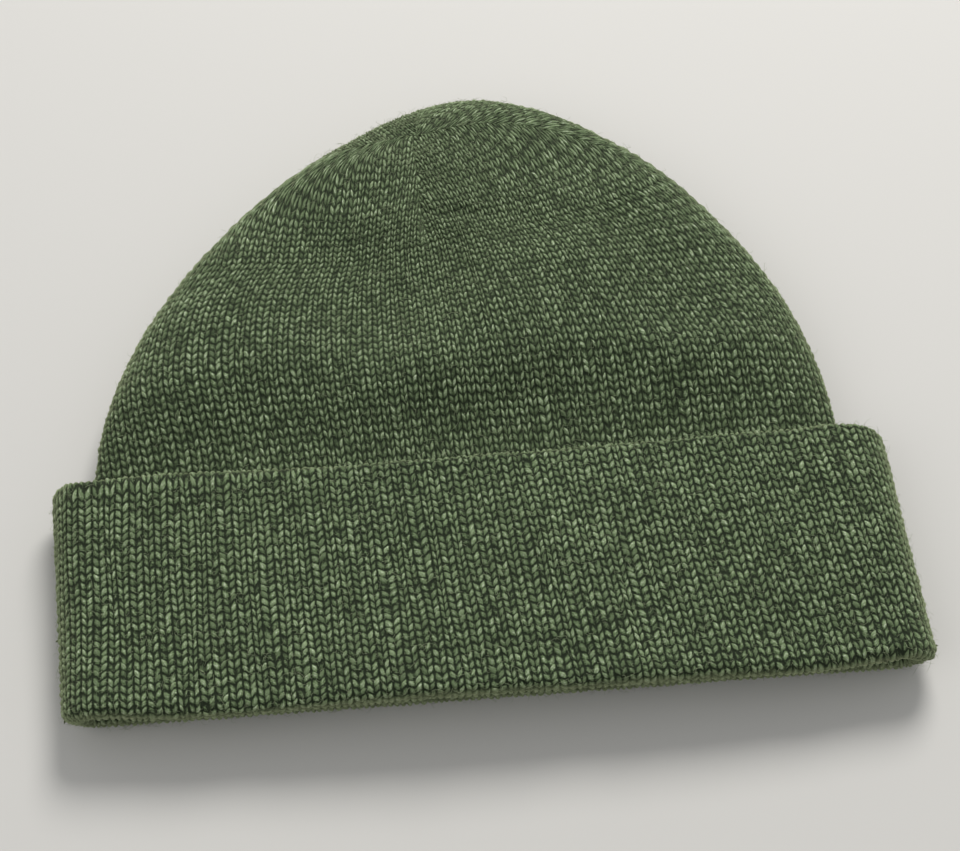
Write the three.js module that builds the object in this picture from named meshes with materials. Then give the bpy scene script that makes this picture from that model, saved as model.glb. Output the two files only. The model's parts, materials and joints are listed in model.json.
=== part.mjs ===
// Knit beanie with a turned-up double cuff, lying flat on a table.
// Millimetres. +X across the hat, +Y from the brim to the top of the crown, +Z up.
// The origin is below the middle of the hat, on the surface that it lies on.
// Every piece of knitting is a shell between two depths below the outer skin.

import * as THREE from 'three';
import { mergeVertices } from 'three/addons/utils/BufferGeometryUtils.js';

// ---- Driving dimensions ---------------------------------------------------

const HAT_LENGTH = 196; // lower fold to the top of the crown
const CUFF_HEIGHT = 68;
const CUFF_LEFT_TOP = -121.2; // the cuff leans: both of its sides move right downwards
const CUFF_LEFT_BOTTOM = -117.8;
const CUFF_RIGHT_TOP = 116.6;
const CUFF_RIGHT_BOTTOM = 121.2;
const CUFF_HALF_THICKNESS = 10; // skin to the middle of the flattened hat, and side radius
const CUFF_DOME = 2; // how much the upper face is fuller in the middle
const CUFF_FLAT_SHARE = 0.8; // share of the steps that go to the flat part
const FOLD_FLAT_SHARE = 0.3; // how far the rim of a fold strip stands back from its crest

const FABRIC = 2.2; // one layer of knitting
const LAYER_GAP = 0.35; // between layers that slide on each other
const SEAM_GAP = 0.3; // between pieces that are joined edge to edge

const CROWN_HALF_WIDTH = 107.5; // where the crown leaves the cuff
const WALL_HALF_WIDTH = 108.5; // at its lower end, inside the cuff
const CROWN_ROUNDNESS = 1.85;
const CROWN_SHOULDER = 1.6;
const CROWN_LEAN_FROM = -3.2; // the crown's centre line leans to the right
const CROWN_LEAN_TO = 5.6;
const CROWN_LEAN_POWER = 1.6;
const WALL_CENTRE = 0.5; // at the wall's lower end
const CROWN_BACK_DEPTH = 9.7;
const CROWN_FRONT_DEPTH = 11.5;
const CROWN_FRONT_DOME = 5.7;
const CROWN_RISE = 26; // length over which the crown swells above the cuff
const CROWN_SQUARENESS = 10;
const CROWN_CLOSING = 7; // how late the crown thins towards its top
const CROWN_TIP = 0.998; // share of the rounded outline's height where the top is drawn shut

const GORE_START = 39; // where the decreases begin
const FRONT_DART_START_X = -11.3;
const FRONT_DART_TIP = { x: -12.9, y: 86 };

const HEM_FOLD_DEPTH = 5; // length of the rounded fold strips of the cuff
const TOP_FOLD_DEPTH = 3;
const LINKING_HEIGHT = 2.6;
const SEAM_WIDTH = 3.2;
const SEAM_RIDGE = 0.8;
const SIDE_SEAM_FROM = 0.9; // share of the half width, just inside the side folds
const SIDE_SEAM_TO = 0.94;

const STEPS = { aroundCuff: 28, overFold: 4, acrossSeam: 2, alongSeam: 10, aroundTip: 16 };
const WALL_STEPS = [24, 14, 1];
const GORE_STEPS = [11, 9, 1];

const LABEL = { width: 16, length: 24, thickness: 0.6, left: 1.2, bottom: -66 };
const TIP = { radius: 3.4, thickness: 1.2 };

// ---- Derived places ---------------------------------------------------------

const BOTTOM = -HAT_LENGTH / 2;
const TOP = HAT_LENGTH / 2;
const CUFF_TOP = BOTTOM + CUFF_HEIGHT;
const CROWN_HEIGHT = (TOP - CUFF_TOP) / CROWN_TIP;
const MIDDLE = CUFF_HALF_THICKNESS + SEAM_GAP / 2; // height where front and back meet

const INNER_CUFF_DEPTH = FABRIC + LAYER_GAP;
const WALL_DEPTH = 2 * INNER_CUFF_DEPTH;
const WALL_HALF_THICKNESS = CUFF_HALF_THICKNESS - WALL_DEPTH;
const RING_DEPTH = WALL_DEPTH + FABRIC;
const LINKING_BOTTOM = BOTTOM + HEM_FOLD_DEPTH + SEAM_GAP;
const WALL_BOTTOM = LINKING_BOTTOM + LINKING_HEIGHT + SEAM_GAP;

const FRONT = 1;
const BACK = -1;

// ---- Materials ----------------------------------------------------------------

const knit = (color) => new THREE.MeshStandardMaterial({ color, roughness: 0.95, metalness: 0 });
const CROWN_KNIT = knit(0x46523a);
const CUFF_KNIT = knit(0x4c5740);
const INNER_KNIT = knit(0x414c35);
const SEAM_YARN = knit(0x363f2b);
const LABEL_SATIN = new THREE.MeshStandardMaterial({ color: 0xdcd8cc, roughness: 0.5, metalness: 0 });

// ---- Outer skins ----------------------------------------------------------------

const mix = (from, to, share) => from + (to - from) * share;

function smooth(share) {
  const s = THREE.MathUtils.clamp(share, 0, 1);
  return s * s * (3 - 2 * s);
}

// The cuff is a flattened ring: flat faces and half-round sides, straight from
// top to bottom. across runs from -1 at the left side to 1 at the right side.
function cuffSkin(side) {
  return (across, y, depth) => {
    const climb = (y - BOTTOM) / CUFF_HEIGHT;
    const left = mix(CUFF_LEFT_BOTTOM, CUFF_LEFT_TOP, climb);
    const right = mix(CUFF_RIGHT_BOTTOM, CUFF_RIGHT_TOP, climb);
    const centre = (left + right) / 2;
    const flatHalf = (right - left) / 2 - CUFF_HALF_THICKNESS;
    const round = CUFF_HALF_THICKNESS - depth;
    const edge = Math.sign(across);
    const past = Math.max(Math.abs(across) - CUFF_FLAT_SHARE, 0);
    const turn = (past / (1 - CUFF_FLAT_SHARE)) * (Math.PI / 2);
    const flat = Math.min(Math.abs(across) / CUFF_FLAT_SHARE, 1);
    const x = centre + edge * (flatHalf * flat + round * Math.sin(turn));
    const dome = side === FRONT ? CUFF_DOME * (1 - flat ** 2) ** 2 : 0;
    const z = MIDDLE + side * (SEAM_GAP / 2 + round * Math.cos(turn) + dome);
    return [x, y, z];
  };
}

// The body of the hat: a straight tube inside the cuff, then a rounded crown that
// closes at the top. height is measured up the crown in shares of its height,
// and is negative inside the cuff.
function crownWidth(height) {
  if (height <= 0) {
    return mix(CROWN_HALF_WIDTH, WALL_HALF_WIDTH, height * CROWN_HEIGHT / (WALL_BOTTOM - CUFF_TOP));
  }
  return CROWN_HALF_WIDTH * (1 - height ** CROWN_ROUNDNESS) ** (1 / CROWN_SHOULDER);
}

function crownCentre(height) {
  if (height <= 0) {
    return mix(CROWN_LEAN_FROM, WALL_CENTRE, height * CROWN_HEIGHT / (WALL_BOTTOM - CUFF_TOP));
  }
  return mix(CROWN_LEAN_FROM, CROWN_LEAN_TO, height ** CROWN_LEAN_POWER);
}

function crownSkin(side) {
  const crownDepth = side === FRONT ? CROWN_FRONT_DEPTH : CROWN_BACK_DEPTH;
  return (across, height, depth) => {
    const swell = smooth(height * CROWN_HEIGHT / CROWN_RISE);
    const closing = height > 0 ? Math.sqrt(1 - height ** CROWN_CLOSING) : 1;
    const half = mix(WALL_HALF_THICKNESS, crownDepth, swell) - depth;
    const fullness = mix(CUFF_DOME, CROWN_FRONT_DOME, swell) * (1 - across ** 2) ** mix(2, 1, swell);
    const section = Math.sqrt(Math.max(1 - Math.abs(across) ** CROWN_SQUARENESS, 0));
    const shrink = 1 - depth / CROWN_HALF_WIDTH;
    const x = crownCentre(height) + crownWidth(height) * shrink * across;
    const y = CUFF_TOP + (CROWN_HEIGHT - (height > 0 ? depth * height : 0)) * height;
    const dome = side === FRONT ? fullness : 0;
    const z = MIDDLE + side * (SEAM_GAP / 2 + closing * (half * section + dome));
    return [x, y, z];
  };
}

const heightAt = (y) => (y - CUFF_TOP) / CROWN_HEIGHT;

// The front decreases run up a slightly leaning line, and from its tip to the top
// they keep the same share of the width.
function frontDart(height) {
  const reach = Math.min(height, heightAt(FRONT_DART_TIP.y));
  const climb = (reach - heightAt(GORE_START)) / (heightAt(FRONT_DART_TIP.y) - heightAt(GORE_START));
  const x = mix(FRONT_DART_START_X, FRONT_DART_TIP.x, climb);
  return (x - crownCentre(reach)) / crownWidth(reach);
}

const backDart = () => 0;

// ---- Making pieces ----------------------------------------------------------------

// Bends a unit box into a shell. skin(u, v, depth) gives its points, with u, v and
// depth between the limits given. place, where given, sets v itself, for a shell
// with a rounded end or with rows that crowd together.
function shell({ name, material, side, skin, u, v, depth, steps, place }) {
  const geometry = new THREE.BoxGeometry(1, 1, 1, ...steps);
  const position = geometry.attributes.position;
  const [low, high] = side === FRONT ? [depth[1], depth[0]] : depth;
  for (let i = 0; i < position.count; i += 1) {
    const across = position.getX(i) + 0.5;
    const along = position.getY(i) + 0.5;
    const through = position.getZ(i) + 0.5;
    const vNow = place ? place(along, through) : mix(v[0], v[1], along);
    const [uLow, uHigh] = typeof u === 'function' ? u(vNow) : u;
    const point = skin(spread(uLow, uHigh, across), vNow, mix(low, high, through));
    position.setXYZ(i, ...point);
  }
  geometry.deleteAttribute('normal');
  geometry.deleteAttribute('uv');
  const merged = mergeVertices(geometry, 1e-5);
  merged.computeVertexNormals();
  return named(name, merged, material);
}

// Steps across a panel crowd together towards the side folds, where it curves most.
function spread(from, to, share) {
  return Math.sin(mix(Math.asin(from), Math.asin(to), share));
}

function named(name, geometry, material) {
  const mesh = new THREE.Mesh(geometry, material);
  mesh.name = name;
  return mesh;
}

// One side of the cuff: two layers of one folded strip, the fold along its upper
// edge, the fold along the lower edge and the linked stitches inside it.
function cuffSide(side, suffix) {
  const skin = cuffSkin(side);
  const evenly = (a, b) => (share) => mix(a, b, share);
  const common = { side, skin, u: [-1, 1] };
  const layerTop = CUFF_TOP - TOP_FOLD_DEPTH - SEAM_GAP;
  const layerBottom = LINKING_BOTTOM;
  const layerSteps = [STEPS.aroundCuff, 1, 1];
  const foldSteps = [STEPS.aroundCuff, 1, STEPS.overFold];
  const bulge = (through) => Math.sqrt(1 - (2 * through - 1) ** 2);

  const topFold = evenly(CUFF_TOP - TOP_FOLD_DEPTH, CUFF_TOP);
  const turnFold = evenly(BOTTOM + HEM_FOLD_DEPTH, BOTTOM);
  const roundEnd = (place) => (share, through) =>
    place(share * mix(FOLD_FLAT_SHARE, 1, bulge(through)));

  return [
    shell({
      ...common,
      name: `cuff_outer_${suffix}`,
      material: CUFF_KNIT,
      v: [layerBottom, layerTop],
      depth: [0, FABRIC],
      steps: layerSteps,
    }),
    shell({
      ...common,
      name: `cuff_inner_${suffix}`,
      material: INNER_KNIT,
      v: [layerBottom, layerTop],
      depth: [INNER_CUFF_DEPTH, INNER_CUFF_DEPTH + FABRIC],
      steps: layerSteps,
    }),
    shell({
      ...common,
      name: `cuff_top_fold_${suffix}`,
      material: CUFF_KNIT,
      depth: [0, INNER_CUFF_DEPTH + FABRIC],
      steps: foldSteps,
      place: roundEnd(topFold),
    }),
    shell({
      ...common,
      name: `turn_fold_${suffix}`,
      material: CUFF_KNIT,
      depth: [0, RING_DEPTH],
      steps: foldSteps,
      place: (share, through) => roundEnd(turnFold)(1 - share, through),
    }),
    shell({
      ...common,
      name: `hem_linking_${suffix}`,
      material: SEAM_YARN,
      v: [LINKING_BOTTOM, LINKING_BOTTOM + LINKING_HEIGHT],
      depth: [WALL_DEPTH, RING_DEPTH],
      steps: layerSteps,
    }),
  ];
}

// One side of the hat's body: the straight wall and the two gores above it, which
// meet along the decreases.
function bodySide(side, suffix, dart) {
  const skin = crownSkin(side);
  const depth = [0, FABRIC];
  const goreHeights = [heightAt(GORE_START + SEAM_GAP / 2), CROWN_TIP];
  const beside = (height, edge) => dart(height) + (edge * SEAM_GAP) / 2 / crownWidth(height);
  const gorePlace = (share) => spread(...goreHeights, share);
  return [
    shell({
      name: `wall_${suffix}`,
      material: CROWN_KNIT,
      side,
      skin,
      u: [-1, 1],
      v: [heightAt(WALL_BOTTOM), heightAt(GORE_START - SEAM_GAP / 2)],
      depth,
      steps: WALL_STEPS,
    }),
    shell({
      name: `gore_${suffix}_left`,
      material: CROWN_KNIT,
      side,
      skin,
      u: (height) => [-1, beside(height, -1)],
      depth,
      steps: GORE_STEPS,
      place: gorePlace,
    }),
    shell({
      name: `gore_${suffix}_right`,
      material: CROWN_KNIT,
      side,
      skin,
      u: (height) => [beside(height, 1), 1],
      depth,
      steps: GORE_STEPS,
      place: gorePlace,
    }),
  ];
}

// A raised seam on the inside of the knitting, following it from one height to
// another between two shares of the half width.
function innerSeam(name, side, from, to, edges) {
  const under = FABRIC + SEAM_GAP;
  return shell({
    name,
    material: SEAM_YARN,
    side,
    skin: crownSkin(side),
    u: edges,
    v: [heightAt(from), heightAt(to)],
    depth: [under, under + SEAM_RIDGE],
    steps: [STEPS.acrossSeam, STEPS.alongSeam, 1],
  });
}

const aroundLine = (line) => (height) => {
  const half = SEAM_WIDTH / 2 / crownWidth(height);
  return [line(height) - half, line(height) + half];
};

function careLabel() {
  const shelf = crownSkin(BACK)(0, heightAt(LABEL.bottom), FABRIC)[2] + SEAM_GAP;
  const geometry = new THREE.BoxGeometry(LABEL.width, LABEL.length, LABEL.thickness);
  const mesh = named('care_label', geometry, LABEL_SATIN);
  mesh.position.set(
    LABEL.left + LABEL.width / 2,
    LABEL.bottom + LABEL.length / 2,
    shelf + LABEL.thickness / 2,
  );
  return mesh;
}

// The stitches drawn together where the four rows of decreases meet.
function crownTip() {
  const height = heightAt(FRONT_DART_TIP.y);
  const under = FABRIC + SEAM_GAP + TIP.thickness;
  const [x, y, z] = crownSkin(FRONT)(frontDart(height), height, under);
  const geometry = new THREE.CylinderGeometry(TIP.radius, TIP.radius, TIP.thickness, STEPS.aroundTip);
  const mesh = named('crown_tip_closure', geometry, SEAM_YARN);
  mesh.rotation.x = Math.PI / 2;
  mesh.position.set(x, y - TIP.radius, z - TIP.thickness);
  return mesh;
}

// ---- The hat ----------------------------------------------------------------

const TIP_ROOM = 2 * TIP.radius + SEAM_GAP;
const SEAM_TOP = TOP - TIP_ROOM;
const GORE_SEAM_START = GORE_START + SEAM_GAP;

const hat = new THREE.Group();
hat.add(...bodySide(BACK, 'back', backDart));
hat.add(...bodySide(FRONT, 'front', frontDart));
hat.add(innerSeam('back_seam', BACK, WALL_BOTTOM, GORE_START, aroundLine(backDart)));
hat.add(innerSeam('dart_seam_back', BACK, GORE_SEAM_START, SEAM_TOP, aroundLine(backDart)));
hat.add(innerSeam(
  'dart_seam_front',
  FRONT,
  GORE_SEAM_START,
  FRONT_DART_TIP.y - TIP_ROOM,
  aroundLine(frontDart),
));
hat.add(innerSeam('dart_seam_left', BACK, GORE_SEAM_START, SEAM_TOP, [-SIDE_SEAM_TO, -SIDE_SEAM_FROM]));
hat.add(innerSeam('dart_seam_right', BACK, GORE_SEAM_START, SEAM_TOP, [SIDE_SEAM_FROM, SIDE_SEAM_TO]));
hat.add(crownTip());
hat.add(...cuffSide(BACK, 'back'));
hat.add(...cuffSide(FRONT, 'front'));
hat.add(careLabel());

export default hat;
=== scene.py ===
import json
import math

import bpy
import numpy as np
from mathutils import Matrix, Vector

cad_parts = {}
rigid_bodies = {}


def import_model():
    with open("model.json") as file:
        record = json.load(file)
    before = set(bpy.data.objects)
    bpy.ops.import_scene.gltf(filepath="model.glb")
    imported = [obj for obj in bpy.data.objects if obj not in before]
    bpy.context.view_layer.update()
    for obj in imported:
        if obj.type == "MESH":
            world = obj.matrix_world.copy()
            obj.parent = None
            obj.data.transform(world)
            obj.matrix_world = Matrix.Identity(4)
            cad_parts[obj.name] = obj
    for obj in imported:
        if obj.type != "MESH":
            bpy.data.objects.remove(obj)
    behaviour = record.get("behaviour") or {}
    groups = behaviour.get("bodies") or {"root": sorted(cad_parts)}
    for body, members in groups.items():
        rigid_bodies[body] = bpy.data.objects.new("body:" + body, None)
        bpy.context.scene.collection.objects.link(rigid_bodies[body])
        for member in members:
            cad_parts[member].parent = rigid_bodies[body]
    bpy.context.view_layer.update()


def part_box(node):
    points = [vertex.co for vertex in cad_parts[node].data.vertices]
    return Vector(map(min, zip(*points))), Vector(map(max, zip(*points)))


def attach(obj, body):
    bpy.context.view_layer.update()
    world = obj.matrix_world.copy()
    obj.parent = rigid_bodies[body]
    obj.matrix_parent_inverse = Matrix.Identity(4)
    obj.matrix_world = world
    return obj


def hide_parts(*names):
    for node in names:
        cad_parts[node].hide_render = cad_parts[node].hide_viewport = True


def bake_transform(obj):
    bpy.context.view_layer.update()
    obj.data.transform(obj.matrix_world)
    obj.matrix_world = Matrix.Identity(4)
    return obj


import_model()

# A knitted beanie lying flat: a crown of plain knitting drawn in by four rows of
# decreases, and a deep cuff, which is the doubled lower end of the same tube turned up.
# Lengths are in millimetres until a mesh is made. The knitting is a lattice of
# stitches laid over smooth surfaces, with every leg of every stitch in relief.

MM = 0.001
TINY = 1e-9
RANDOM = np.random.default_rng(20)

# ---- Places from the frame ---------------------------------------------------------------


def box_mm(node):
    low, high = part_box(node)
    return np.array(low) / MM, np.array(high) / MM


BOTTOM = box_mm("turn_fold_front")[0][1]
CUFF_TOP = box_mm("cuff_top_fold_front")[1][1]
CROWN_TOP = box_mm("gore_front_left")[1][1]
GORE_START = box_mm("wall_front")[1][1]
EDGE_BULGE = 1.4  # how far the soft left edge of the cuff bulges past its solid
LEFT_LEAN = 3.4  # how far each side leans to the left over the cuff's height
RIGHT_LEAN = 4.6
CUFF_LEFT_TOP = box_mm("cuff_top_fold_back")[0][0] - EDGE_BULGE
CUFF_LEFT_BOTTOM = CUFF_LEFT_TOP + LEFT_LEAN
CUFF_RIGHT_BOTTOM = box_mm("turn_fold_back")[1][0]
CUFF_RIGHT_TOP = CUFF_RIGHT_BOTTOM - RIGHT_LEAN
MIDDLE = box_mm("cuff_outer_front")[0][2]
CUFF_FRONT_TOP = box_mm("cuff_outer_front")[1][2]
CROWN_FRONT_TOP = box_mm("wall_front")[1][2]
CROWN_HEIGHT = CROWN_TOP - CUFF_TOP

# ---- Knitting ----------------------------------------------------------------------------

WALES = 140  # columns of stitches round the hat
COURSE = 2.15  # height of a row of stitches on the cuff
CROWN_COURSE = 2.5  # and on the crown
COLUMNS = 8  # mesh steps across a stitch
ROWS = 4  # mesh steps up a stitch
RELIEF = 0.72  # from the crest of a leg to the groove between two columns
LEG_RISE = 0.6  # how far a leg climbs from the middle of its stitch, in rows
FABRIC = 2.2  # thickness of one layer
LAYER = 2.55  # one layer and its gap

# ---- The crown's shape -------------------------------------------------------------------

CROWN_HALF_WIDTH = 107.5
CROWN_ROUNDNESS = 1.9  # the outline's two powers: how full it is low down
CROWN_SHOULDER = 1.5  # and how round it is at the top
CENTRE_FROM = -3.2  # the crown leans to the right as it rises
CENTRE_TO = 5.6
CENTRE_POWER = 1.6
BACK_DEPTH = 9.7  # from the middle plane to each face
FRONT_DEPTH = 11.5
NECK_DEPTH = 4.9  # half thickness inside the cuff
NECK_DOME = 2.0
FRONT_DOME = CROWN_FRONT_TOP - MIDDLE - FRONT_DEPTH
CROWN_RISE = 34.0  # over which the crown swells to its full depth above the cuff
SQUARENESS = 10  # of a section at the side folds
CLOSING = 5  # power with which the two faces close at the top
FLOP = math.radians(29)  # how far the tip of the crown rolls onto the front
FLOP_ASIDE = math.radians(-12)  # and to the left
DART_FOOT = -6.5  # where the line of the front decreases meets the cuff, carried down
DART_START = -11.3  # where it begins
DART_TIP = -12.3  # and where it ends
DART_TIP_Y = 79.6
FLOP_POWER = 3
FRONT_SHARE = 0.7  # the rows of knitting are evened out more on the front than on the back


def smooth(x):
    x = np.clip(x, 0, 1)
    return x * x * (3 - 2 * x)


def mix(a, b, share):
    return a + (b - a) * share


def unit(vectors):
    return vectors / np.maximum(np.linalg.norm(vectors, axis=-1, keepdims=True), TINY)


def bump(x, y, cx, cy, rx, ry, turn):
    """A soft round hill of height 1, with its long axis turned by that many degrees."""
    c, s = math.cos(math.radians(turn)), math.sin(math.radians(turn))
    u = ((x - cx) * c + (y - cy) * s) / rx
    v = (-(x - cx) * s + (y - cy) * c) / ry
    return np.exp(-(u * u + v * v))


# ---- Slow random waves, the same on every run --------------------------------------------


class Waves:
    """A smooth random field in space, made of a few sine waves."""

    def __init__(self, wavelength, count=9):
        turn = RANDOM.normal(size=(count, 3))
        turn /= np.linalg.norm(turn, axis=1, keepdims=True)
        self.k = turn * (2 * math.pi / wavelength) * RANDOM.uniform(0.6, 1.5, (count, 1))
        self.phase = RANDOM.uniform(0, 2 * math.pi, count)
        self.scale = math.sqrt(2 / count)

    def __call__(self, p):
        total = 0
        for k, phase in zip(self.k, self.phase):
            total = total + np.sin(p @ k + phase)
        return total * self.scale


BROAD = Waves(62)
RIPPLE = Waves(24)


def waves(p, heights):
    return heights[0] * BROAD(p) + heights[1] * RIPPLE(p)


# ---- Smooth surfaces ---------------------------------------------------------------------


def crown_width(height):
    return CROWN_HALF_WIDTH * (1 - height**CROWN_ROUNDNESS) ** (1 / CROWN_SHOULDER)


def crown_centre(height):
    return mix(CENTRE_FROM, CENTRE_TO, height**CENTRE_POWER)


def crown_point(psi, height, depth=0.0):
    """Point of the crown. psi is the angle round a section, 0 at the middle of the front,
    a quarter turn at the right side. height is the share of the crown's height."""
    psi, height, depth = np.broadcast_arrays(psi, height, depth)
    above = np.clip(height, 0, 1)
    ring = np.sqrt(1 - above**2)
    over = FLOP * above**FLOP_POWER
    aside = FLOP_ASIDE * above**FLOP_POWER
    x, y, z = np.sin(psi) * ring, above, np.cos(psi) * ring
    y, z = y * np.cos(over) - z * np.sin(over), z * np.cos(over) + y * np.sin(over)
    x, y = x * np.cos(aside) + y * np.sin(aside), y * np.cos(aside) - x * np.sin(aside)
    t = np.where(height > 0, np.clip(y, 0, 1), height)
    psi = np.where(height > 0, np.arctan2(x, z), psi)

    up = np.clip(t, 0, 1)
    width = crown_width(up)
    closing = np.sqrt(1 - up**CLOSING)
    swell = smooth(t * CROWN_HEIGHT / CROWN_RISE)
    across = np.sin(psi)
    section = np.sqrt(1 - np.abs(across) ** SQUARENESS)
    front = np.cos(psi) > 0
    half = mix(NECK_DEPTH, np.where(front, FRONT_DEPTH, BACK_DEPTH), swell) - depth
    dome = mix(NECK_DOME, FRONT_DOME, swell) * (1 - across**2) ** mix(2, 1, swell)
    dome = np.where(front, dome, 0)
    x = crown_centre(up) + width * (1 - depth / CROWN_HALF_WIDTH) * across
    y = CUFF_TOP + CROWN_HEIGHT * t - depth * up**3
    z = MIDDLE + np.where(front, 1, -1) * closing * (half * section) + closing * dome
    p = np.stack([x, y, z], axis=-1)
    p[..., 2] += np.where(front, closing * section * crown_dents(p), 0)
    return p


POLE = 0.999998  # the surface closes to a point at a height share of 1
REACH = 0.003  # step over which its slope is measured


def crown_frame(psi, height):
    """Points of the crown's skin with their outward normals."""
    height = np.minimum(height, POLE)
    along = crown_point(psi + REACH, height) - crown_point(psi - REACH, height)
    up = crown_point(psi, np.minimum(height + REACH, POLE)) - crown_point(psi, height - REACH)
    return crown_point(psi, height), unit(np.cross(along, up))


# Hollows and rises of the settled front: height, then centre, radii and turn in degrees.
SETTLED = (
    (-6.2, (-30, 30, 22, 25, 15)),
    (1.2, (44, 34, 26, 34, 0)),
    (1.2, (-40, 66, 20, 13, 0)),
    (-1.0, (0, 47, 12, 2.2, -8)),
)
SETTLED_FROM = 30.0  # the cuff holds the front flat up to here above it
PUCKER_DEPTH = 0.9  # groove along the front decreases
PUCKER_WIDTH = 1.9
PUCKER_FADE = 8.0
CROWN_WAVES = (0.7, 0.3)  # broad waves and ripples


def crown_dents(p):
    """Hollows and rises where the soft front has settled."""
    x, y = p[..., 0], p[..., 1]
    free = smooth((y - CUFF_TOP) / SETTLED_FROM)
    settled = sum(height * bump(x, y, *place) for height, place in SETTLED)
    beside = x - np.interp(y, (GORE_START, DART_TIP_Y), (DART_START, DART_TIP))
    sewn = smooth((y - GORE_START) / PUCKER_FADE + 0.5) * smooth((DART_TIP_Y - y) / PUCKER_FADE + 1)
    pucker = PUCKER_DEPTH * np.exp(-((beside / PUCKER_WIDTH) ** 2)) * sewn
    return free * (settled - pucker + waves(p, CROWN_WAVES))


CUFF_ROUND = 10.0  # radius of the cuff's side folds
CUFF_DOME = CUFF_FRONT_TOP - MIDDLE - CUFF_ROUND
CUFF_WAVES = (0.35, 0.2)
CUFF_WAVES_REACH = 9.0  # depth at which they have died out
FRONT_FADE = 8.0  # thickness over which the back's shape turns into the front's
HANG = 4.6  # how far the front's lower fold hangs past the back's
HANG_LESS = 2.4  # and how much less it does at the sides
HANG_FLAT = 80.0
HANG_FADE = 38.0
UPPER_RISES = ((1.0, -88, 26), (-0.9, -25, 30), (1.2, 84, 24), (1.8, 104, 11))


def cuff_outline(y):
    """Centre and half width of the cuff's flat part at that height."""
    climb = (y - BOTTOM) / (CUFF_TOP - BOTTOM)
    left = mix(CUFF_LEFT_BOTTOM, CUFF_LEFT_TOP, climb)
    right = mix(CUFF_RIGHT_BOTTOM, CUFF_RIGHT_TOP, climb)
    return (left + right) / 2, (right - left) / 2 - CUFF_ROUND


def cuff_point(ring, y, depth):
    """Point of the cuff. ring runs from -1 to 1 once round the hat, 0 in front."""
    centre, flat = cuff_outline(y)
    length = 4 * flat + 2 * math.pi * CUFF_ROUND
    s = (ring + 1) % 2 - 1
    s = s * length / 2
    edge = np.sign(s)
    s = np.abs(s)
    quarter = math.pi * CUFF_ROUND
    turn = np.clip((s - flat) / CUFF_ROUND, 0, math.pi)
    back = np.clip(s - flat - quarter, 0, None)
    round_ = CUFF_ROUND - depth
    x = centre + edge * (np.minimum(s, flat) + round_ * np.sin(turn) - back)
    inward = np.clip(np.abs(x - centre) / flat, 0, 1)
    dome = np.where(s < flat, CUFF_DOME * (1 - inward**2) ** 2, 0)
    z = MIDDLE + round_ * np.cos(turn) + dome
    p = np.stack(np.broadcast_arrays(x, y, z), axis=-1)
    front = smooth((p[..., 2] - MIDDLE) / FRONT_FADE + 0.5)
    climb = (p[..., 1] - BOTTOM) / (CUFF_TOP - BOTTOM)
    p[..., 1] += mix(lower_edge(x), upper_edge(x), np.clip(climb, 0, 1)) * front
    p[..., 2] += front * waves(p, CUFF_WAVES) * smooth(1 - depth / CUFF_WAVES_REACH)
    return p


def lower_edge(x):
    """How far the front's lower fold stands above the back's."""
    return -HANG + HANG_LESS * smooth((np.abs(x) - HANG_FLAT) / HANG_FADE)


def upper_edge(x):
    """How far the front's upper fold stands above the back's."""
    return sum(height * np.exp(-(((x - at) / width) ** 2)) for height, at, width in UPPER_RISES)


# ---- Meshes ------------------------------------------------------------------------------


def make_object(name, points_mm, faces, material, uv=None, **attributes):
    """A mesh object from points in millimetres. uv and attributes are one row per point."""
    mesh = bpy.data.meshes.new(name)
    faces = np.asarray(faces)
    mesh.vertices.add(len(points_mm))
    mesh.vertices.foreach_set("co", (points_mm * MM).astype(np.float32).ravel())
    size = faces.shape[1]
    mesh.loops.add(faces.size)
    mesh.loops.foreach_set("vertex_index", faces.astype(np.int32).ravel())
    mesh.polygons.add(len(faces))
    mesh.polygons.foreach_set("loop_start", np.arange(0, faces.size, size, dtype=np.int32))
    mesh.polygons.foreach_set("use_smooth", np.full(len(faces), True))
    if uv is not None:
        layer = mesh.uv_layers.new(name="stitch")
        layer.data.foreach_set("uv", uv[faces.ravel()].astype(np.float32).ravel())
    for key, values in attributes.items():
        attribute = mesh.attributes.new(key, "FLOAT", "POINT")
        attribute.data.foreach_set("value", values.astype(np.float32).ravel())
    mesh.update(calc_edges=True)
    mesh.validate()
    mesh.materials.append(material)
    obj = bpy.data.objects.new(name, mesh)
    bpy.context.scene.collection.objects.link(obj)
    return obj


def grid_faces(rows, columns):
    corner = np.arange(rows * columns).reshape(rows, columns)
    quads = [corner[:-1, :-1], corner[:-1, 1:], corner[1:, 1:], corner[1:, :-1]]
    return np.stack([q.ravel() for q in quads], axis=1)


def grid_normals(points):
    along = np.gradient(points, axis=1)
    up = np.gradient(points, axis=0)
    return unit(np.cross(along, up))


# ---- Stitches ----------------------------------------------------------------------------


def smoothed(noise, spread):
    """White noise made gentle from row to row, still of size 1."""
    reach = int(3 * spread)
    kernel = np.exp(-0.5 * (np.arange(-reach, reach + 1) / spread) ** 2)
    kernel /= math.sqrt((kernel**2).sum())
    padded = np.pad(noise, ((reach, reach), (0, 0)), mode="wrap")
    return sum(k * padded[i : i + len(noise)] for i, k in enumerate(kernel))


TONE_SPREAD = 0.25
PLUMP_SPREAD = 0.18
PLUMP_RANGE = (0.55, 1.35)
LIFT = 0.13  # how unevenly the legs sit in their row, in rows
DRIFT = 0.08  # how unevenly the rows run
SWAY = 0.09  # how unevenly the columns run, in columns
LEG_FULLNESS = 0.8  # power of a leg's cross-section
LEG_TAPER = 0.9  # and of its profile along the row
FOOT = 0.15  # relief left where one leg ends and the next begins
SPINE = 0.2  # and between the two legs of a stitch
SHEEN_FROM = 0.92  # painted sheen: the wool is painted paler and flatter where it turns away from the faces
SHEEN_OVER = 0.7


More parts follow.
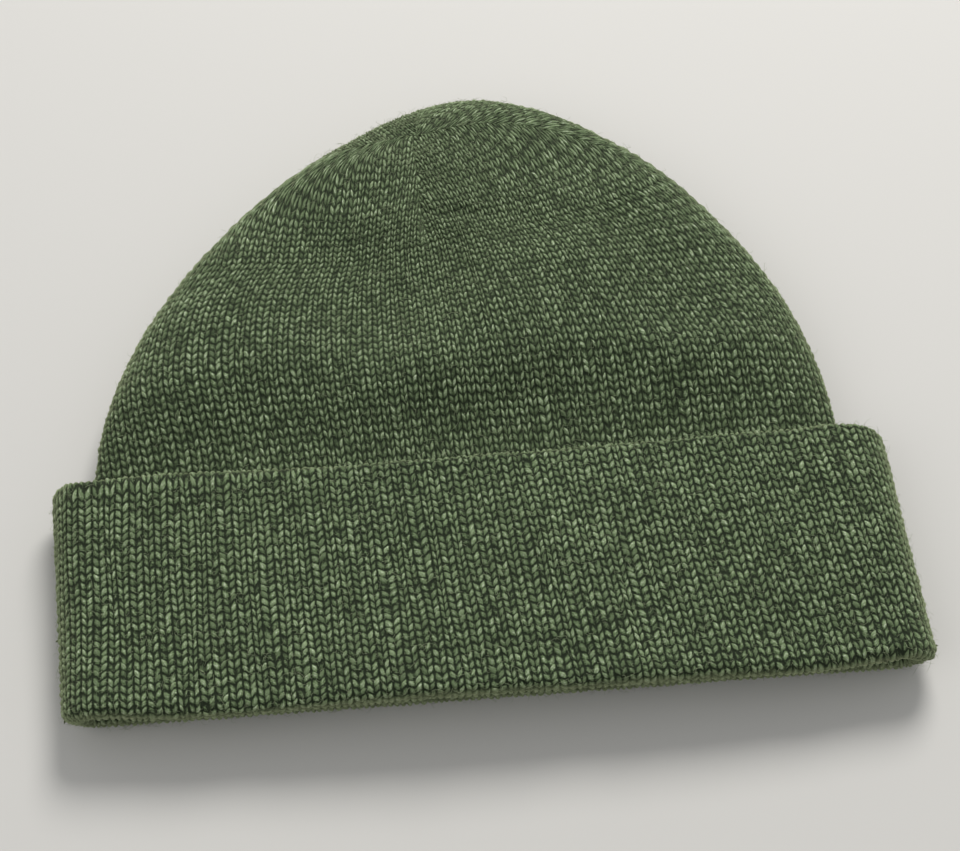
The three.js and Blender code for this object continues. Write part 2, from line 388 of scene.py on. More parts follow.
class Stitches:
    """Random qualities of each stitch: its tone, plumpness and place."""

    def __init__(self, courses):
        shape = (courses + 4, WALES, 2)
        self.tone = np.clip(RANDOM.normal(0.5, TONE_SPREAD, shape), 0, 1)
        self.plump = np.clip(RANDOM.normal(1, PLUMP_SPREAD, shape), *PLUMP_RANGE)
        self.lift = RANDOM.normal(0, LIFT, shape)
        self.drift = smoothed(RANDOM.normal(0, 1, shape[:2]), 1.5) * DRIFT
        self.sway = smoothed(RANDOM.normal(0, 1, shape[:2]), 4) * SWAY


def between(field, course, wale, up, across):
    """A per-stitch field read smoothly between the corners of the stitches."""
    following = (wale + 1) % WALES
    low = mix(field[course, wale], field[course, following], across)
    high = mix(field[course + 1, wale], field[course + 1, following], across)
    return mix(low, high, up)


def knit_lattice(stitches, first_wale, wales, courses, first_course=0):
    """The lattice of a panel: for each mesh row and column the wale (column of stitches)
    and course (row of stitches) that it stands for, the relief and the tone of the leg."""
    i = np.arange(wales * COLUMNS + 1)
    j = np.arange(courses * ROWS + 1)
    wale = first_wale + i / COLUMNS
    within = (i % COLUMNS) / COLUMNS
    half = np.where(within < 0.5, 0, 1)
    leg = (within * 2) % 1
    climb = np.abs(2 * within - 1) * LEG_RISE
    row = (j % ROWS) / ROWS
    course = first_course + j / ROWS

    w = (np.floor(wale).astype(int) % WALES)[None, :]
    c = np.minimum(np.floor(course).astype(int), len(stitches.tone) - 2)[:, None]
    h = half[None, :]
    across = np.sin(math.pi * leg) ** LEG_FULLNESS
    spine = np.where(np.isclose(within, 0.5), SPINE, 0)
    lengthwise = mix(FOOT, 1, np.sin(math.pi * row) ** LEG_TAPER)
    relief = np.maximum(across, spine)[None, :] * lengthwise[:, None]
    lift = stitches.lift[c, w, h] * across[None, :]
    drift = between(stitches.drift, c, w, row[:, None], within[None, :])
    return {
        "wale": wale[None, :] + between(stitches.sway, c, w, row[:, None], within[None, :]),
        "course": course[:, None] + climb[None, :] + lift + drift,
        "relief": relief * stitches.plump[c, w, h],
        "tone": stitches.tone[c, w, h],
        "uv": np.stack(np.broadcast_arrays(wale[None, :], course[:, None]), axis=-1),
    }


def knitted(name, lattice, base, normal, material, keep=None):
    """A panel of knitting: the smooth points of base, sunk where the relief is less than
    full. keep says which points belong to the panel."""
    points = base - normal * (RELIEF * (1 - lattice["relief"]))[..., None]
    faces = grid_faces(*base.shape[:2])
    points = points.reshape(-1, 3)
    if keep is not None:
        inside = keep.ravel()[faces].any(axis=1)
        faces = faces[inside]
    used, faces = np.unique(faces, return_inverse=True)
    faces = faces.reshape(-1, 4)
    return make_object(
        name,
        points[used],
        faces,
        material,
        uv=lattice["uv"].reshape(-1, 2)[used],
        tone=lattice["tone"].ravel()[used],
        relief=lattice["relief"].ravel()[used],
        # this last attribute marks where the painted sheen goes
        felt=smooth((SHEEN_FROM - np.abs(normal[..., 2])) / SHEEN_OVER).ravel()[used],
    )


# ---- Materials ---------------------------------------------------------------------------


class Nodes:
    """Short-hand for building a material's node tree."""

    def __init__(self, name):
        self.material = bpy.data.materials.new(name)
        self.material.use_nodes = True
        self.tree = self.material.node_tree
        self.shader = self.tree.nodes["Principled BSDF"]

    def add(self, kind, **settings):
        node = self.tree.nodes.new(kind)
        for key, value in settings.items():
            setattr(node, key, value)
        return node

    def link(self, source, target):
        self.tree.links.new(source, target)

    def noise(self, vector, scale, detail=2.0, roughness=0.5, distortion=0.0):
        node = self.add("ShaderNodeTexNoise")
        self.link(vector, node.inputs["Vector"])
        node.inputs["Scale"].default_value = scale
        node.inputs["Detail"].default_value = detail
        node.inputs["Roughness"].default_value = roughness
        node.inputs["Distortion"].default_value = distortion
        return node.outputs["Fac"]

    def stretch(self, vector, scale):
        node = self.add("ShaderNodeMapping")
        self.link(vector, node.inputs["Vector"])
        node.inputs["Scale"].default_value = scale
        return node.outputs["Vector"]

    def remap(self, value, low, high, to_low, to_high):
        node = self.add("ShaderNodeMapRange")
        self.link(value, node.inputs["Value"])
        node.inputs["From Min"].default_value = low
        node.inputs["From Max"].default_value = high
        node.inputs["To Min"].default_value = to_low
        node.inputs["To Max"].default_value = to_high
        return node.outputs["Result"]

    def combine(self, operation, a, b):
        node = self.add("ShaderNodeMath", operation=operation)
        self.link(a, node.inputs[0])
        self.link(b, node.inputs[1])
        return node.outputs[0]

    def times(self, a, b):
        return self.combine("MULTIPLY", a, b)

    def blend(self, factor, a, b):
        """Colour a turning into colour b as the factor goes from 0 to 1."""
        node = self.add("ShaderNodeMix", data_type="RGBA", blend_type="MIX")
        for value, socket in ((factor, 0), (a, 6), (b, 7)):
            if isinstance(value, bpy.types.NodeSocket):
                self.link(value, node.inputs[socket])
            else:
                node.inputs[socket].default_value = value
        return node.outputs[2]

    def set(self, values):
        for key, value in values.items():
            self.shader.inputs[key].default_value = value

    def finish(self, colour, height, bump_strength):
        """The colour and a fine relief go to the shader."""
        self.link(colour, self.shader.inputs["Base Color"])
        bump_node = self.add("ShaderNodeBump")
        bump_node.inputs["Strength"].default_value = bump_strength
        bump_node.inputs["Distance"].default_value = FIBRE_BUMP
        self.link(height, bump_node.inputs["Height"])
        self.link(bump_node.outputs["Normal"], self.shader.inputs["Normal"])
        return self.material


def rgba(r, g, b):
    return (r, g, b, 1)


def shade(colour, amount):
    return rgba(*(c * amount for c in colour[:3]))


GROOVE_SHADE = rgba(0.009, 0.015, 0.005)  # painted shade in the grooves between the legs
MID = rgba(0.098, 0.142, 0.062)  # the yarn
CREST_HIGHLIGHT = rgba(0.30, 0.378, 0.208)  # paler fibres, shown only on the crests of the legs as painted highlight
CREST_GLINT = rgba(0.62, 0.68, 0.50)  # palest flecks: painted highlight on the crests
RIM_SHEEN = rgba(0.195, 0.218, 0.115)  # painted sheen where the wool turns away from the faces
FIBRE_BUMP = 0.0004  # metres
WOOL_SHEEN = {
    "Roughness": 0.85,
    "Specular IOR Level": 0.25,
    "Sheen Weight": 0.8,
    "Sheen Roughness": 0.4,
    "Sheen Tint": rgba(0.62, 0.68, 0.40),
}


def wool(name, grooves, groove_top, body):
    """Heathered wool: each leg has its own tone, and fibres run along it. Light and shade are
    painted in: the grooves between the legs are painted darker as painted shade, the crests
    paler as painted highlight, and the wool turning away from the faces paler as painted sheen.
    grooves is how dark the painted groove shade is, groove_top the relief up to which it
    reaches, and body the brightness of the yarn."""
    n = Nodes(name)
    tone = n.add("ShaderNodeAttribute", attribute_name="tone").outputs["Fac"]
    relief = n.add("ShaderNodeAttribute", attribute_name="relief").outputs["Fac"]
    felt = n.add("ShaderNodeAttribute", attribute_name="felt").outputs["Fac"]
    uv = n.add("ShaderNodeUVMap", uv_map="stitch").outputs["UV"]
    place = n.add("ShaderNodeTexCoord").outputs["Object"]

    fibre = n.noise(n.stretch(uv, (5.0, 3.0, 1)), 1.0, 3.0, 0.65, 0.8)
    fleck = n.noise(n.stretch(uv, (4.0, 2.5, 1)), 1.6, 2.0, 0.6)
    patch = n.noise(place, 55.0, 3.0, 0.55)
    ragged = n.remap(n.noise(n.stretch(uv, (7.0, 4.5, 1)), 1.0, 2.0, 0.6), 0.3, 0.7, -0.26, 0.26)
    relief = n.combine("ADD", relief, ragged)
    # Painted highlight: the crests of the legs are painted paler, with pale fibres and flecks.
    crest = n.remap(relief, 0.55, 1.0, 0.0, 1.0)
    lit = n.times(crest, n.remap(tone, 0.15, 0.85, 0.15, 1.0))

    base = n.blend(n.remap(tone, 0, 1, 0.0, 1.0), shade(MID, 0.75 * body), shade(MID, 1.3 * body))
    base = n.blend(n.times(lit, n.remap(fibre, 0.3, 0.62, 0.25, 1.0)), base, CREST_HIGHLIGHT)
    base = n.blend(n.times(lit, n.remap(fleck, 0.5, 0.64, 0.0, 0.9)), base, CREST_GLINT)
    base = n.blend(n.remap(patch, 0.3, 0.7, 0.0, 0.3), base, shade(MID, 0.7))
    # Painted sheen: paler and flatter where the wool turns away from the faces.
    sheened = n.blend(n.remap(felt, 0, 1, 0.0, 0.62), base, RIM_SHEEN)
    # Painted shade: the grooves between the legs are darkened, less so under the painted sheen.
    groove = n.remap(relief, 0.12, groove_top, grooves, 0.0)
    groove = n.times(groove, n.remap(felt, 0, 1, 1.0, 0.45))
    n.set(WOOL_SHEEN)
    return n.finish(n.blend(groove, sheened, GROOVE_SHADE), fibre, 0.55)


def plain_cloth(name, colour, scale=900.0, roughness=0.9):
    """A quiet textile for what lies inside, the label and the loose fibres."""
    n = Nodes(name)
    place = n.add("ShaderNodeTexCoord").outputs["Object"]
    weave = n.noise(place, scale, 3.0, 0.6)
    patch = n.noise(place, 70.0, 2.0)
    base = n.blend(n.remap(weave, 0.35, 0.7, 0.0, 1.0), shade(colour, 0.6), colour)
    base = n.blend(n.remap(patch, 0.3, 0.7, 0.0, 0.3), base, shade(colour, 0.7))
    n.set({"Roughness": roughness, "Specular IOR Level": 0.25})
    return n.finish(base, weave, 0.5)


# ---- Baking placements -------------------------------------------------------------------


def spans(obj):
    """Bakes the object's placement into its mesh."""
    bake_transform(obj)
    return obj


# ---- Crown -------------------------------------------------------------------------------

WALL_FOOT = (box_mm("wall_front")[0][1] - CUFF_TOP) / CROWN_HEIGHT  # below the cuff's top
COURSE_TILT = 5.0  # the rows climb to the right by this much at each side
CROWDED = 0.008  # the columns stand closer in the middle of each face
SLIP = 0.02  # the columns on the left drift over the side fold
GORE_EASE = 1.12  # the decreases begin gently
EATEN_LOW = (0.2, 0.65, 0.35, 0.9)  # share of each gore's decreases along its first edge
DENSE = 1440  # steps round a section in the tables
SIDE_SLIP_TO = 0.5  # height share at which the slip is full
TILT_FADE = 0.5  # height share below the tip over which the rows level out
TILT_START = 6.0  # rows at the foot of the wall over which the tilt comes in


def dart_line(heights):
    """Angle round each section where the front decreases run, carried down to the cuff."""
    psi = np.linspace(-1, 1, 161)
    p = crown_point(psi[None, :], heights[:, None])
    line = np.interp(p[..., 1], (CUFF_TOP, GORE_START, DART_TIP_Y), (DART_FOOT, DART_START, DART_TIP))
    return np.array([np.interp(0, miss, psi) for miss in p[..., 0] - line])


def front_height(y):
    """Height share at which the middle of the front reaches y."""
    shares = np.linspace(0, 0.9, 400)
    return float(np.interp(y, crown_point(0.0, shares)[:, 1], shares))


GORE_AT = front_height(GORE_START)


def slipped(share, height):
    """Where the columns really stand, as shares of the way round."""
    within = share - np.floor(share)
    side = np.where(within > 0.5, np.sin(2 * math.pi * (within - 0.5)) ** 2, 0)
    return share - CROWDED * np.sin(4 * math.pi * share) - SLIP * smooth(height / SIDE_SLIP_TO) * side


def course_heights(start):
    """Height share of each of evenly spaced courses, counted along the middle of the front
    and of the back, and how many there are."""
    t = np.concatenate([np.linspace(start, 0.97, 600), 1 - 0.03 * (1 - np.linspace(0, 1, 200)) ** 2])
    length = 0
    for psi, weight in ((0.0, FRONT_SHARE), (math.pi, 1 - FRONT_SHARE)):
        step = np.linalg.norm(np.diff(crown_point(psi, t), axis=0), axis=1)
        length = length + weight * np.concatenate([[0], np.cumsum(step)])

    def height_of(course):
        return np.interp(np.asarray(course) * CROWN_COURSE, length, t)

    return height_of, length[-1] / CROWN_COURSE


def ring_table(heights):
    """For each height, the angle as a function of the share of the way round, starting
    from the front decreases."""
    psi = np.linspace(0, 2 * math.pi, DENSE + 1)
    start = dart_line(heights)
    p = crown_point(start[:, None] + psi[None, :], heights[:, None])
    step = np.linalg.norm(np.diff(p, axis=1), axis=2)
    length = np.concatenate([np.zeros((len(heights), 1)), np.cumsum(step, axis=1)], axis=1)
    return start, psi, length


class CrownKnit:
    """The knitted skin of the crown."""

    def __init__(self):
        self.height_of, self.count = course_heights(WALL_FOOT)
        top = 1 - 0.1 * (1 - np.linspace(0, 1, 90)[1:]) ** 2
        heights = np.concatenate([np.linspace(WALL_FOOT, 0.9, 120), top])
        self.table_heights = np.minimum(heights, POLE)
        self.start, psi, length = ring_table(self.table_heights)
        self.perimeter = length[:, -1]
        even = np.linspace(0, 1, DENSE + 1)
        self.inverse = np.stack([np.interp(even, row, psi) for row in length / length[:, -1:]])
        self.courses = int(self.count)
        self.stitches = Stitches(self.courses + 4)
        courses = np.arange(self.courses)
        self.gore_course = int(round(float(np.interp(GORE_AT, self.height_of(courses), courses))))

    def angle(self, share, height):
        """Angle round the section at that share of the way round, at that height."""
        share, height = np.broadcast_arrays(slipped(share, height), height)
        at = np.interp(height, self.table_heights, np.arange(len(self.table_heights)))
        low = np.clip(np.floor(at).astype(int), 0, len(self.table_heights) - 2)
        part = at - low
        turns = np.floor(share)
        within = (share - turns) * DENSE
        result = 0
        for row, weight in ((low, 1 - part), (low + 1, part)):
            here = self.inverse[row, np.clip(within.astype(int), 0, DENSE - 1)]
            following = self.inverse[row, np.clip(within.astype(int) + 1, 0, DENSE)]
            angle = mix(here, following, within - np.floor(within))
            result = result + weight * (angle + self.start[row])
        return result + turns * 2 * math.pi

    def place(self, share, course):
        """Points and normals of the smooth surface at a share of the way round and a course."""
        rough = self.height_of(course)
        psi = self.angle(share, rough)
        fade = smooth((1 - rough) / TILT_FADE) * smooth(course / TILT_START)
        height = self.height_of(course + COURSE_TILT / CROWN_COURSE * np.sin(psi) * fade)
        return crown_frame(self.angle(share, height), height)

    def wall(self, name, first_wale, material):
        lattice = knit_lattice(self.stitches, first_wale, WALES // 2, self.gore_course)
        return knitted(name, lattice, *self.place(lattice["wale"] / WALES, lattice["course"]), material)

    def gore(self, name, quarter, material):
        """A quarter of the top. Stitches end along the decreases on both of its sides."""
        per_gore = WALES // 4
        courses = self.courses - self.gore_course + 2
        first = quarter * per_gore
        lattice = knit_lattice(self.stitches, first, per_gore, courses, self.gore_course)
        course = np.minimum(lattice["course"], self.count - 0.05)
        height = self.height_of(course)
        around = np.interp(height, self.table_heights, self.perimeter)
        at_start = np.interp(self.height_of(self.gore_course), self.table_heights, self.perimeter)
        left = (1 - (1 - np.clip(around / at_start, 0, 1)) ** GORE_EASE) * per_gore
        eaten = (per_gore - left) * EATEN_LOW[quarter]
        local = lattice["wale"] - first - eaten
        inside = (local > 0) & (local < left) & (lattice["course"] < self.count)
        on_edge = np.clip(local, 0, left)
        share = (quarter + on_edge / np.maximum(left, 1e-6)) / 4
        lattice["relief"] = np.where(inside, lattice["relief"], 0.45)
        return knitted(name, lattice, *self.place(share, course), material, keep=inside)


# ---- Cuff --------------------------------------------------------------------------------

TURN_RADIUS = 3.65  # of the lower fold
FOLD_RADIUS = 2.4  # of the upper fold
CUFF_INSIDE = 7.3  # depth of the innermost layer
INSIDE_LENGTH = 7.0  # how far the knitting is followed up inside the mouth
FOLD_LENGTH = 5.0  # and down behind the upper fold
CUFF_TILT = 8.0  # the rows climb to the right by this much at each side
CUFF_LEAN = 7.0  # the columns lean by up to this much over the cuff's height
LEAN_MIDDLE = 0.35  # share of that lean at the middle of the front
CUFF_ROUND_LENGTH = 230.0  # half the way round


class CuffKnit:
    """The knitted skin of the cuff: up from inside the mouth, round the lower fold,
    up the outside and over the upper edge."""

    def __init__(self):
        lower = BOTTOM + TURN_RADIUS
        upper = CUFF_TOP - FOLD_RADIUS
        turn = np.linspace(0, math.pi, 40)
        y = [lower + INSIDE_LENGTH, *(lower - TURN_RADIUS * np.sin(turn))]
        d = [CUFF_INSIDE, *(TURN_RADIUS + TURN_RADIUS * np.cos(turn))]
        y += [*(upper + FOLD_RADIUS * np.sin(turn)), upper - FOLD_LENGTH]
        d += [*(FOLD_RADIUS - FOLD_RADIUS * np.cos(turn)), 2 * FOLD_RADIUS]
        self.y = np.array(y)
        self.d = np.array(d)
        step = np.hypot(np.diff(self.y), np.diff(self.d))
        self.length = np.concatenate([[0], np.cumsum(step)])
        self.courses = int(self.length[-1] / COURSE)
        self.stitches = Stitches(self.courses + 4)

    def place(self, wale, course):
        ring = wale / (WALES / 2) - 0.5 / WALES
        window = smooth(course / 5) * smooth((self.courses - course) / 4)
        tilted = course + window * CUFF_TILT / COURSE * np.sin(math.pi * ring)
        s = tilted * self.length[-1] / (self.courses + LEG_RISE)
        y = np.interp(s, self.length, self.y)
        d = np.interp(s, self.length, self.d)
        climb = (y - BOTTOM) / (CUFF_TOP - BOTTOM) - 0.5
        lean = climb * mix(LEAN_MIDDLE, 1, np.sin(math.pi * ring)) * CUFF_LEAN
        return cuff_point(ring - lean / CUFF_ROUND_LENGTH, y, d)

    def panel(self, name, first_wale, material):
        lattice = knit_lattice(self.stitches, first_wale, WALES // 2, self.courses)
        base = self.place(lattice["wale"], lattice["course"])
        return knitted(name, lattice, base, grid_normals(base), material)


# ---- Smooth inner shells -----------------------------------------------------------------


def shell(name, surface, across, along, depth, steps, material):
    """A closed solid between two depths under a surface, over ranges of its coordinates."""
    nu, nv = steps
    u = np.linspace(*across, nu + 1)[None, :]
    v = np.linspace(*along, nv + 1)[:, None]
    outer = surface(u, v, depth[0]).reshape(-1, 3)
    inner = surface(u, v, depth[1]).reshape(-1, 3)
    count = len(outer)
    top = grid_faces(nv + 1, nu + 1)
    corner = np.arange(count).reshape(nv + 1, nu + 1)
    loop = np.concatenate([corner[0, :-1], corner[:-1, -1], corner[-1, :0:-1], corner[:0:-1, 0]])
    following = np.roll(loop, -1)
    rim = np.stack([loop, loop + count, following + count, following], axis=1)
    faces = np.concatenate([top, top[:, ::-1] + count, rim])
    return make_object(name, np.concatenate([outer, inner]), faces, material)


def crown_shell(name, psi, height, depth, steps, material):
    return shell(name, crown_point, psi, height, depth, steps, material)


def cuff_shell(name, ring, y, depth, steps, material):
    def surface(u, v, d):
        return cuff_point(*np.broadcast_arrays(u, v), d)

    return shell(name, surface, ring, y, depth, steps, material)


SLANTED = (0.31, 0.22, 0.92)  # a direction that no fibre runs along
FIBRE_TAPER = 0.6


def fibres(name, lines, radius, material):
    """Thin closed hairs with pointed tips. lines holds one row of points for each hair."""
    count, points = lines.shape[:2]
    tangent = unit(np.gradient(lines, axis=1))
    across = unit(np.cross(tangent, SLANTED))
    other = np.cross(tangent, across)
    thick = radius * (1 - FIBRE_TAPER * np.linspace(0, 1, points) ** 2)[None, :, None]
    corners = []
    for k in range(3):
        turn = 2 * math.pi * k / 3
        corners.append(lines + thick * (across * math.cos(turn) + other * math.sin(turn)))
    rings = np.stack(corners, axis=2)[:, :-1].reshape(count, -1, 3)
    vertices = np.concatenate([rings, lines[:, -1:]], axis=1)
    tip = 3 * (points - 1)
    faces = [(0, 2, 1)]
    for a, b in ((0, 1), (1, 2), (2, 0)):
        for k in range(0, tip - 3, 3):
            faces += [(k + a, k + b, k + 3 + b), (k + a, k + 3 + b, k + 3 + a)]
        faces.append((tip - 3 + a, tip - 3 + b, tip))
    faces = np.array(faces)[None] + (tip + 1) * np.arange(count)[:, None, None]
    return make_object(name, vertices.reshape(-1, 3), faces.reshape(-1, 3), material)


# ---- Setting -----------------------------------------------------------------------------

CAMERA_TARGET = Vector((1.1, -15.5, 9)) * MM
CAMERA_DISTANCE = 0.650  # metres, as the lengths of the setting are
CAMERA_ELEVATION = math.radians(62)
CAMERA_AZIMUTH = math.radians(-4.5)
VIEW_WIDTH = 0.279  # at the target
SENSOR_WIDTH = 36.0
FLOOR_HALF = 3000.0  # millimetres
WORLD_STRENGTH = 0.45


def make_camera():
    data = bpy.data.cameras.new("camera")
    data.sensor_width = SENSOR_WIDTH
    data.lens = data.sensor_width * CAMERA_DISTANCE / VIEW_WIDTH
    data.clip_start, data.clip_end = 0.01, 20
    camera = bpy.data.objects.new("camera", data)
    flat = math.cos(CAMERA_ELEVATION)
    back = Vector((
        math.sin(CAMERA_AZIMUTH) * flat,
        -math.cos(CAMERA_AZIMUTH) * flat,
        math.sin(CAMERA_ELEVATION),
    ))
    camera.location = CAMERA_TARGET + back * CAMERA_DISTANCE
    camera.rotation_mode = "QUATERNION"
    camera.rotation_quaternion = (-back).to_track_quat("-Z", "Y")
    bpy.context.scene.collection.objects.link(camera)
    bpy.context.scene.camera = camera


def area_light(name, place, size, power):
    data = bpy.data.lights.new(name, "AREA")
    data.shape = "DISK"
    data.size = size
    data.energy = power
    light = bpy.data.objects.new(name, data)
    light.location = place
    light.rotation_mode = "QUATERNION"
    light.rotation_quaternion = (-Vector(place)).to_track_quat("-Z", "Y")
    bpy.context.scene.collection.objects.link(light)


def make_setting():
    n = Nodes("pale_floor")
    n.shader.inputs["Base Color"].default_value = rgba(0.62, 0.60, 0.56)
    n.shader.inputs["Roughness"].default_value = 0.9
    corners = np.array([[-1, -1, 0], [1, -1, 0], [1, 1, 0], [-1, 1, 0]]) * FLOOR_HALF
    make_object("floor", corners, [[0, 1, 2, 3]], n.material)
    area_light("key", (0.30, 0.80, 0.95), 0.6, 14)
    area_light("fill", (-0.9, -0.5, 1.0), 1.2, 3)
    world = bpy.data.worlds.new("studio")
    world.use_nodes = True
    background = world.node_tree.nodes["Background"]
    background.inputs["Color"].default_value = rgba(0.93, 0.96, 1.0)
    background.inputs["Strength"].default_value = WORLD_STRENGTH
    bpy.context.scene.world = world
    bpy.context.scene.view_settings.view_transform = "Standard"


# ---- Building ----------------------------------------------------------------------------

make_camera()
make_setting()

# Both are one yarn: the cuff's copy is painted brighter and with darker grooves, as painted light and
# shade.
CROWN_WOOL = wool("crown_wool", 1.1, 0.76, 1.0)
CUFF_WOOL = wool("cuff_wool", 1.4, 0.66, 1.12)
INNER_WOOL = plain_cloth("inner_wool", rgba(0.085, 0.105, 0.058))
SEAM_WOOL = plain_cloth("seam_wool", rgba(0.07, 0.085, 0.048), 1500.0)
FIBRE = plain_cloth("loose_fibre", rgba(0.40, 0.46, 0.27), 400.0)
LABEL_CLOTH = plain_cloth("label_satin", rgba(0.72, 0.70, 0.63), 2500.0, 0.5)

crown = CrownKnit()
quarter_turn = WALES // 4
body = [
    (crown.wall("wall_front_knit", -quarter_turn, CROWN_WOOL), "wall_front"),
    (crown.wall("wall_back_knit", quarter_turn, CROWN_WOOL), "wall_back"),
    (crown.gore("gore_front_right_knit", 0, CROWN_WOOL), "gore_front_right"),
    (crown.gore("gore_back_right_knit", 1, CROWN_WOOL), "gore_back_right"),
    (crown.gore("gore_back_left_knit", 2, CROWN_WOOL), "gore_back_left"),
    (crown.gore("gore_front_left_knit", 3, CROWN_WOOL), "gore_front_left"),
]
for piece, node in body:
    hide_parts(node)
    spans(piece)

cuff = CuffKnit()
cuff_front = cuff.panel("cuff_front_knit", -quarter_turn, CUFF_WOOL)
cuff_back = cuff.panel("cuff_back_knit", quarter_turn, CUFF_WOOL)
for piece, side in ((cuff_front, "front"), (cuff_back, "back")):
    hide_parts(f"cuff_outer_{side}", f"cuff_top_fold_{side}", f"turn_fold_{side}")
    spans(piece)

# Behind the stitches: the inside face of the crown, and the inner layer of the cuff.
UNDER = RELIEF + 0.15  # just below the deepest groove
INSIDE_TOP = 0.985
INNER_SHORT = 3.0  # how far the inner layer ends below the upper fold
FRONT_ARC = (-math.pi / 2, math.pi / 2)
BACK_ARC = (math.pi / 2, 3 * math.pi / 2)
FRONT_RING = (-0.5, 0.5)
BACK_RING = (0.5, 1.5)
for side, arc, ring in (("front", FRONT_ARC, FRONT_RING), ("back", BACK_ARC, BACK_RING)):
    heights = (WALL_FOOT, INSIDE_TOP)
    name = f"crown_inside_{side}"
    lining = crown_shell(name, arc, heights, (UNDER, FABRIC), (72, 70), INNER_WOOL)
    spans(lining)
    heights = (box_mm(f"cuff_inner_{side}")[0][1], CUFF_TOP - INNER_SHORT)
    name = f"cuff_inner_{side}_knit"
    inner = cuff_shell(name, ring, heights, (LAYER, LAYER + FABRIC), (80, 8), INNER_WOOL)
    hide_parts(f"cuff_inner_{side}")
    spans(inner)

# ---- Seams -------------------------------------------------------------------------------

SEAM_DEPTH = (FABRIC + 0.3, FABRIC + 1.1)
SEAM_HALF_WIDTH = 1.6
SEAM_TOP = 0.96
NARROW = 12.0  # the seam's width is kept where the crown's half width falls below this
LINK_DEPTH = (5.3, 7.1)
LINK_BEAD = 0.35


def seam(node, share, low, high):
    """A ridge of drawn-together edges on the inside, along a column of stitches."""

    def surface(u, v, d):
        psi = crown.angle(share, v)
        width = np.maximum(crown_width(np.clip(v, 0, 1)), NARROW)
        return crown_point(psi + u / width, v, d)

    half = (-SEAM_HALF_WIDTH, SEAM_HALF_WIDTH)
    ridge = shell(f"{node}_yarn", surface, half, (low, high), SEAM_DEPTH, (4, 60), SEAM_WOOL)
    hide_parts(node)
    spans(ridge)


seam("back_seam", 0.5, WALL_FOOT, GORE_AT - 0.005)
for quarter, side in enumerate(("front", "right", "back", "left")):
    seam(f"dart_seam_{side}", quarter / 4, GORE_AT, SEAM_TOP)
full_turn = (0, 2 * math.pi)
tip_heights = (0.965, 0.9995)
tip = crown_shell("crown_tip_closure_yarn", full_turn, tip_heights, SEAM_DEPTH, (24, 4), SEAM_WOOL)
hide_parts("crown_tip_closure")
spans(tip)


def hem_linking(node, ring):
    """The row of linked stitches that closes the cuff's hem, inside the mouth."""
    low, high = box_mm(node)
    foot, head = low[1], high[1]

    def linked(u, v, d):
        bead = np.abs(np.sin(math.pi * WALES / 2 * u)) * np.sin(math.pi * (v - foot) / (head - foot))
        return cuff_point(u, v, d - LINK_BEAD * bead)

    row = shell(f"{node}_row", linked, ring, (foot, head), LINK_DEPTH, (WALES * 3, 6), SEAM_WOOL)
    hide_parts(node)
    spans(row)


hem_linking("hem_linking_front", FRONT_RING)
hem_linking("hem_linking_back", BACK_RING)

# ---- Care label --------------------------------------------------------------------------

LABEL_THICKNESS = 0.45
LABEL_CURL = 0.12
LABEL_WEAVE = 0.03
LABEL_HEM = 0.12  # the folded ends are thicker by this
LABEL_HEM_FROM = 0.86
low, high = box_mm("care_label")
label_middle = (low + high) / 2
label_half = (high - low) / 2


def label_skin(u, v, d):
    """A folded ribbon that curls a little away from the wall at its free end."""
    u, v, d = np.broadcast_arrays(u, v, d)
    weave = LABEL_WEAVE * np.sin(math.pi * 14 * u) * np.cos(math.pi * 20 * v)
    hem = LABEL_HEM * (np.abs(v) > LABEL_HEM_FROM)
    x = label_middle[0] + label_half[0] * u
    y = label_middle[1] + label_half[1] * v
    z = low[2] + LABEL_CURL * (1 - v) ** 2 + (LABEL_THICKNESS + weave + hem) * (1 - d)
    return np.stack([x, y, z], axis=-1)


label = shell("care_label_ribbon", label_skin, (-1, 1), (-1, 1), (0.0, 1.0), (48, 72), LABEL_CLOTH)
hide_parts("care_label")
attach(label, "label")

TACK_HALF = 0.55  # half the length of a sewing stitch
TACK_RADIUS = 0.16
TACK_RISE = 0.12
TACK_IN = 1.4  # from the label's sewn end
stitch = np.linspace(-TACK_HALF, TACK_HALF, 5)
hop = np.stack([stitch, 0 * stitch, TACK_RADIUS * np.cos(stitch * 2.8)], axis=1)
stitch_x = label_middle[0] + label_half[0] * np.linspace(-0.66, 0.88, 8)
stitch_at = [(x, high[1] - TACK_IN, low[2] + LABEL_THICKNESS + TACK_RISE) for x in stitch_x]
tack_lines = np.array(stitch_at)[:, None, :] + hop
tack = fibres("care_label_stitches", tack_lines, TACK_RADIUS, SEAM_WOOL)
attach(tack, "label")

# ---- Fuzz --------------------------------------------------------------------------------

FIBRE_LENGTH = 2.4
FIBRE_LENGTHS = (0.8, 6)
FIBRE_RADIUS = 0.045
FIBRE_ROOT = 0.4  # how deep a hair is rooted in the wool
FIBRE_LIFT = (0.1, 0.9)  # angle at which it leaves the wool
FIBRE_DROOP = 0.35
FIBRE_COUNT = 7500


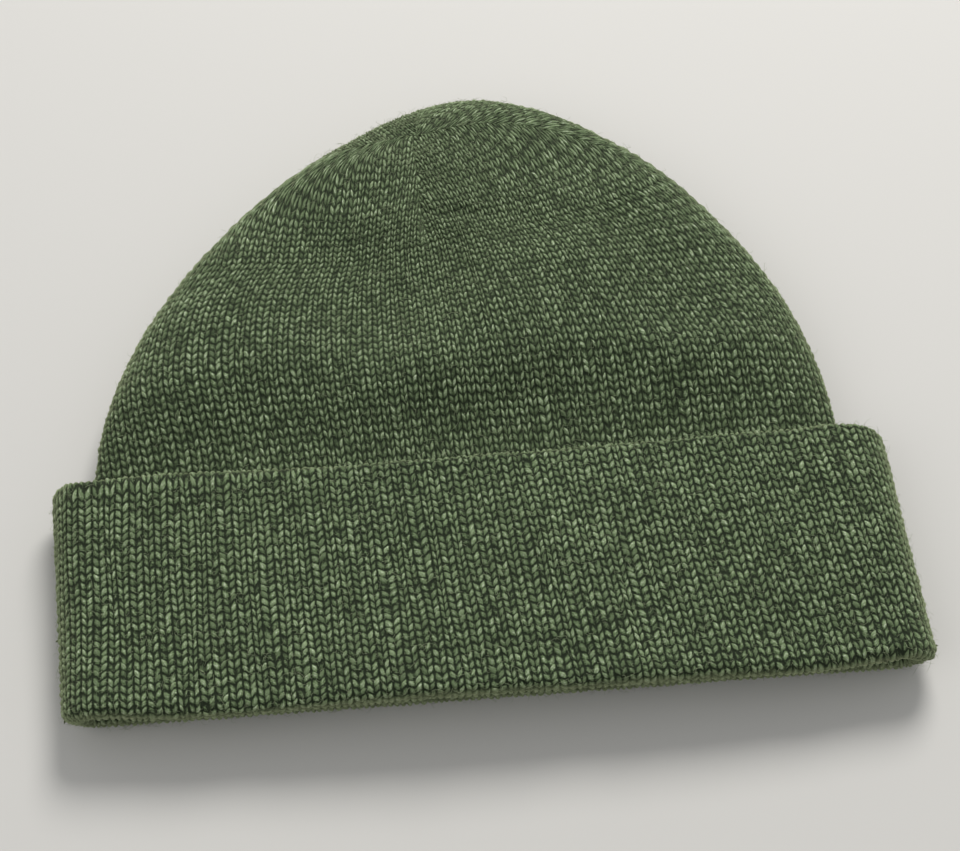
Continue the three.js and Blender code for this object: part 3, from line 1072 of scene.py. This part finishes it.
def fuzz(name, place, count):
    """Loose fibres standing off the wool."""
    root, normal, along = place(count)
    tilt = RANDOM.uniform(*FIBRE_LIFT, (count, 1))
    turn = RANDOM.uniform(0, 2 * math.pi, (count, 1))
    curl = RANDOM.normal(0, 1.1, (count, 1))
    side = np.cross(normal, along)
    length = np.clip(RANDOM.gamma(4, FIBRE_LENGTH / 4, (count, 1)), *FIBRE_LENGTHS)
    line = [root - normal * FIBRE_ROOT]
    for bend in (0, 1, 2):
        heading = along * np.cos(turn + curl * bend) + side * np.sin(turn + curl * bend)
        rise = tilt * (1 - bend * FIBRE_DROOP)
        line.append(line[-1] + (heading * np.cos(rise) + normal * np.sin(rise)) * length / 3)
    line = np.stack(line, axis=1)
    line[..., 2] = np.maximum(line[..., 2], FIBRE_RADIUS)  # none goes under the floor
    piece = fibres(name, line, FIBRE_RADIUS, FIBRE)
    spans(piece)


def on_crown(count):
    share = RANDOM.uniform(0, 1, count)
    course = crown.count * RANDOM.uniform(0.06, 0.97, count)
    point, normal = crown.place(share, course)
    along = crown.place(share, course + 0.3)[0] - point
    return point, normal, unit(along)


def on_cuff(count):
    wale = RANDOM.uniform(0, WALES, count)
    course = cuff.courses * RANDOM.uniform(0.06, 0.94, count)
    point = cuff.place(wale, course)
    along = cuff.place(wale, course + 0.3) - point
    normal = unit(np.cross(cuff.place(wale + 0.3, course) - point, along))
    return point, normal, unit(along)


fuzz("crown_fuzz", on_crown, FIBRE_COUNT)
fuzz("cuff_fuzz", on_cuff, FIBRE_COUNT)

# One long loose hair, arched over the front of the crown.
STRAY_RADIUS = 0.05
run = np.linspace(0, 1, 12)
arch = -0.5 - 0.8 * np.sin(math.pi * run)
hair = crown_point(-0.17 + 0.05 * run**2, 0.56 - 0.11 * run, arch)
stray = fibres("stray_hair", hair[None], STRAY_RADIUS, FIBRE)
spans(stray)

# ---- Cloth -------------------------------------------------------------------------------

pieces = bpy.data.objects
for side in ("front", "back"):
    inner = pieces[f"cuff_inner_{side}_knit"]
